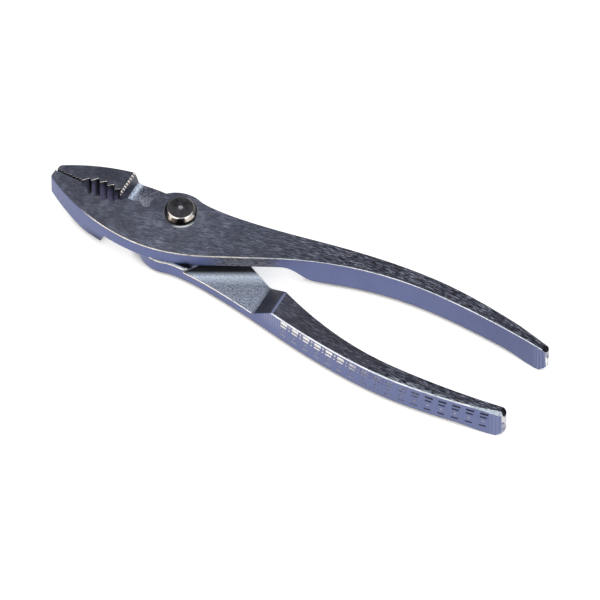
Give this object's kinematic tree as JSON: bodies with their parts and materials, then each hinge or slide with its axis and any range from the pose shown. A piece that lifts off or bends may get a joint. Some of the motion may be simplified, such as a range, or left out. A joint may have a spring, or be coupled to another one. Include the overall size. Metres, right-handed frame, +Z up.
{
  "type": "slip-joint pliers",
  "caption": "Forged slip-joint pliers with a toothed nose, a pipe-grip hollow, a wire-cutting notch and bowed steel handles that turn and slip on a pivot bolt.",
  "frame": {"origin": "middle of the tool's footprint, on the surface it lies on", "axes": "+X from the nose to the handle ends, +Y towards the handle of the upper half, +Z up along the pivot"},
  "size_m": [0.2, 0.0486, 0.0171],
  "materials": {
    "forged_steel": "ground and brushed along its length, bright on its edges, grainy in the forged recesses",
    "pivot_steel": "polished"
  },
  "bodies": {
    "lower_half": {"lower_half": "forged_steel"},
    "pivot": {"pivot_bolt": "pivot_steel", "pivot_nut": "pivot_steel"},
    "upper_half": {"upper_half": "forged_steel"}
  },
  "joints": [
    {"name": "slip", "type": "slide", "parent": "lower_half", "child": "pivot", "axis": [0, -1, 0], "range_m": [0, 0.009]},
    {"name": "opening", "type": "hinge", "parent": "pivot", "child": "upper_half", "pos_m": [-0.0494, 0.0056, 0.0079], "axis": [0, 0, 1], "range_deg": [0, 60]}
  ]
}
